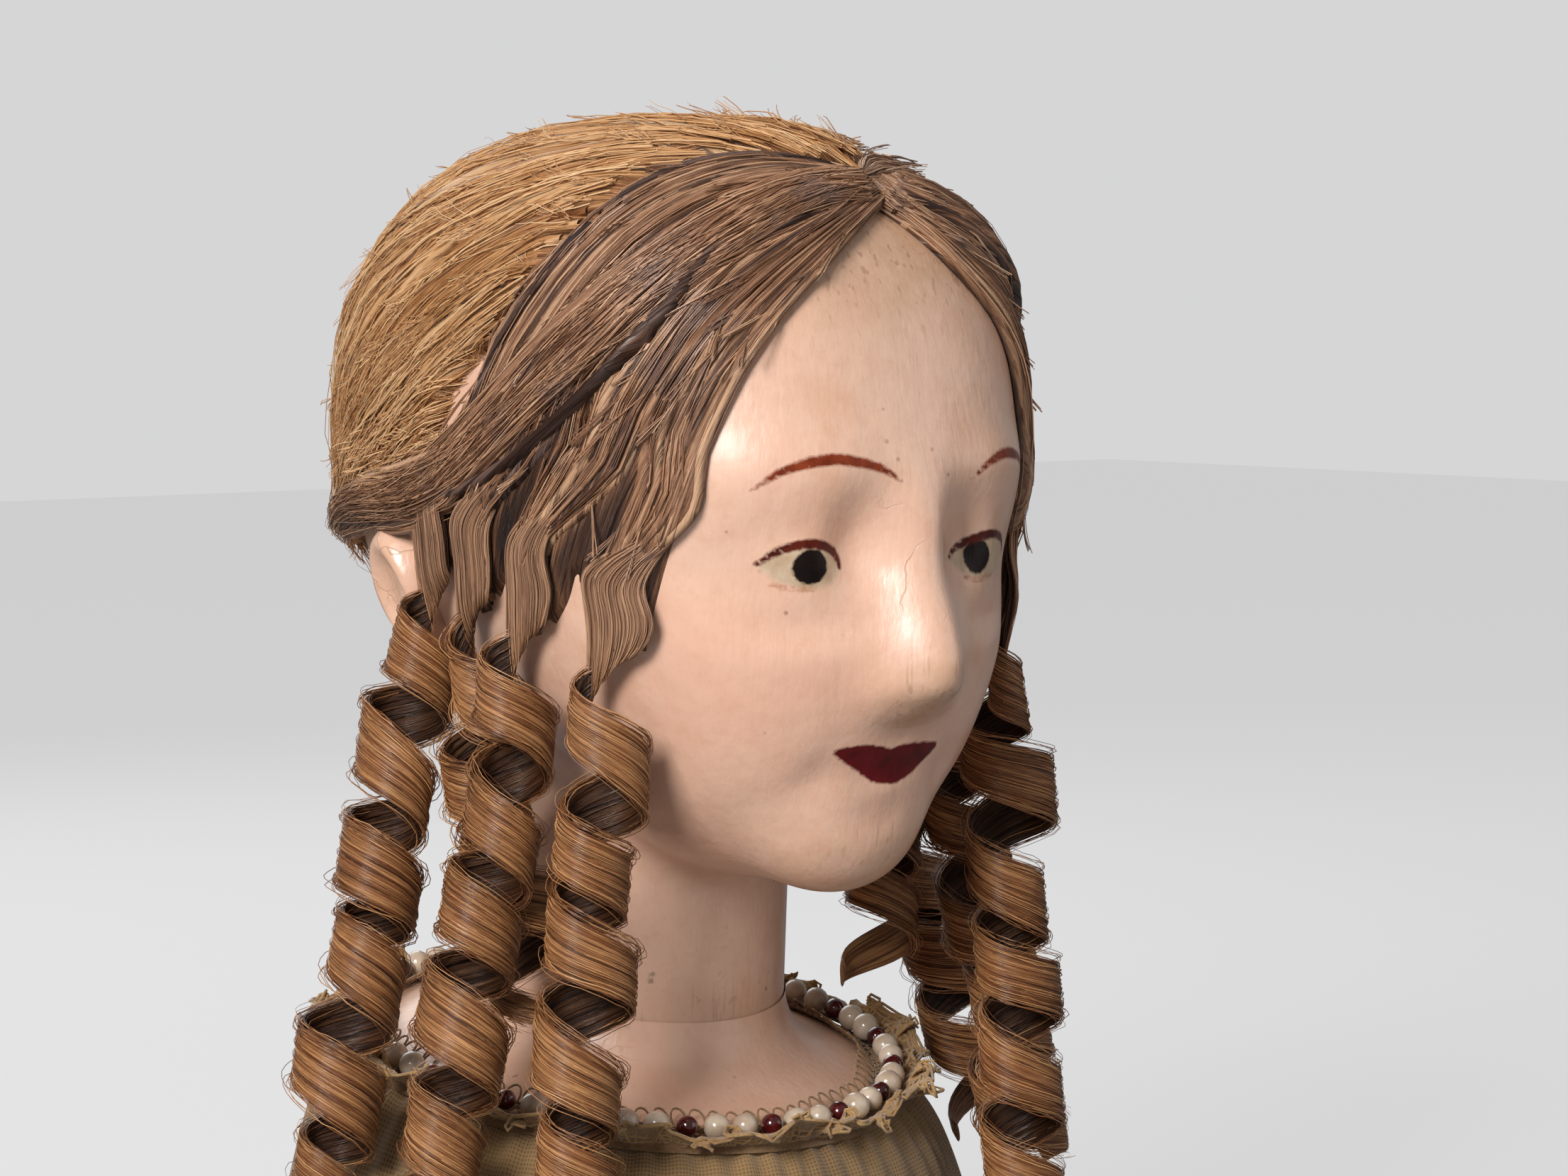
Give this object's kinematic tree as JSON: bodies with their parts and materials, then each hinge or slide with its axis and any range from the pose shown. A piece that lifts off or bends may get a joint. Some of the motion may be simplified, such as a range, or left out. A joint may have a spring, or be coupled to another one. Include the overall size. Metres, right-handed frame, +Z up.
{
  "type": "papier-mache doll bust",
  "caption": "Painted papier-mache doll's head and shoulders with glued flax hair, ringlets that swing at their roots, lace and beads at the neckline, standing on a wooden board.",
  "frame": {"origin": "centre of the board's underside", "axes": "+Z up, the doll faces -Y, the doll's right side is towards -X"},
  "size_m": [0.1545, 0.1443, 0.2414],
  "materials": {
    "painted_paper": "oil paint, satin, crazed",
    "flax_hair": "combed flax tow",
    "back_flax": "rough flax tow",
    "lace": "aged cotton lace",
    "dress_cloth": "aged woven cloth",
    "beads": "pearl and dark red glass",
    "wood": "worn, waxed",
    "iron": "dull"
  },
  "bodies": {
    "bust": {"base_board": "wood", "head_post": "wood", "neck_plug": "wood", "rim_tack_1": "iron", "rim_tack_2": "iron", "rim_tack_3": "iron", "rim_tack_4": "iron", "torso_front_shell": "painted_paper", "torso_back_shell": "painted_paper", "head_front_shell": "painted_paper", "head_back_shell": "painted_paper", "right_ear": "painted_paper", "left_ear": "painted_paper", "bodice_front": "dress_cloth", "bodice_back": "dress_cloth", "lace_collar": "lace", "lace_frill": "lace", "bead_string": "beads", "hair_back": "back_flax", "hair_curtain_right": "flax_hair", "hair_curtain_left": "flax_hair", "cross_lock_right": "flax_hair", "cross_lock_left": "flax_hair"},
    "ringlet_right_1": {"ringlet_right_1": "flax_hair"},
    "ringlet_right_2": {"ringlet_right_2": "flax_hair"},
    "ringlet_right_3": {"ringlet_right_3": "flax_hair"},
    "ringlet_right_4": {"ringlet_right_4": "flax_hair"},
    "ringlet_left_1": {"ringlet_left_1": "flax_hair"},
    "ringlet_left_2": {"ringlet_left_2": "flax_hair"},
    "ringlet_left_3": {"ringlet_left_3": "flax_hair"},
    "ringlet_left_4": {"ringlet_left_4": "flax_hair"}
  },
  "joints": [
    {"name": "swing_right_1", "type": "hinge", "parent": "bust", "child": "ringlet_right_1", "pos_m": [-0.04444, -0.00522, 0.15641], "axis": [0.0832, 0.9965, 0], "range_deg": [0, 20]},
    {"name": "swing_right_2", "type": "hinge", "parent": "bust", "child": "ringlet_right_2", "pos_m": [-0.04398, -0.02988, 0.15018], "axis": [-0.0101, 0.9999, 0], "range_deg": [0, 20]},
    {"name": "swing_right_3", "type": "hinge", "parent": "bust", "child": "ringlet_right_3", "pos_m": [-0.04044, -0.04802, 0.14686], "axis": [-0.2735, 0.9619, 0], "range_deg": [0, 20]},
    {"name": "swing_right_4", "type": "hinge", "parent": "bust", "child": "ringlet_right_4", "pos_m": [-0.04339, -0.01783, 0.1534], "axis": [-1, 0, 0], "range_deg": [0, 5]},
    {"name": "swing_left_1", "type": "hinge", "parent": "bust", "child": "ringlet_left_1", "pos_m": [0.04444, -0.00522, 0.15641], "axis": [0.0832, -0.9965, 0], "range_deg": [0, 20]},
    {"name": "swing_left_2", "type": "hinge", "parent": "bust", "child": "ringlet_left_2", "pos_m": [0.04398, -0.02988, 0.15018], "axis": [-0.0101, -0.9999, 0], "range_deg": [0, 20]},
    {"name": "swing_left_3", "type": "hinge", "parent": "bust", "child": "ringlet_left_3", "pos_m": [0.04044, -0.04802, 0.14686], "axis": [-0.2735, -0.9619, 0], "range_deg": [0, 20]},
    {"name": "swing_left_4", "type": "hinge", "parent": "bust", "child": "ringlet_left_4", "pos_m": [0.04339, -0.01783, 0.1534], "axis": [-1, 0, 0], "range_deg": [0, 5]}
  ]
}
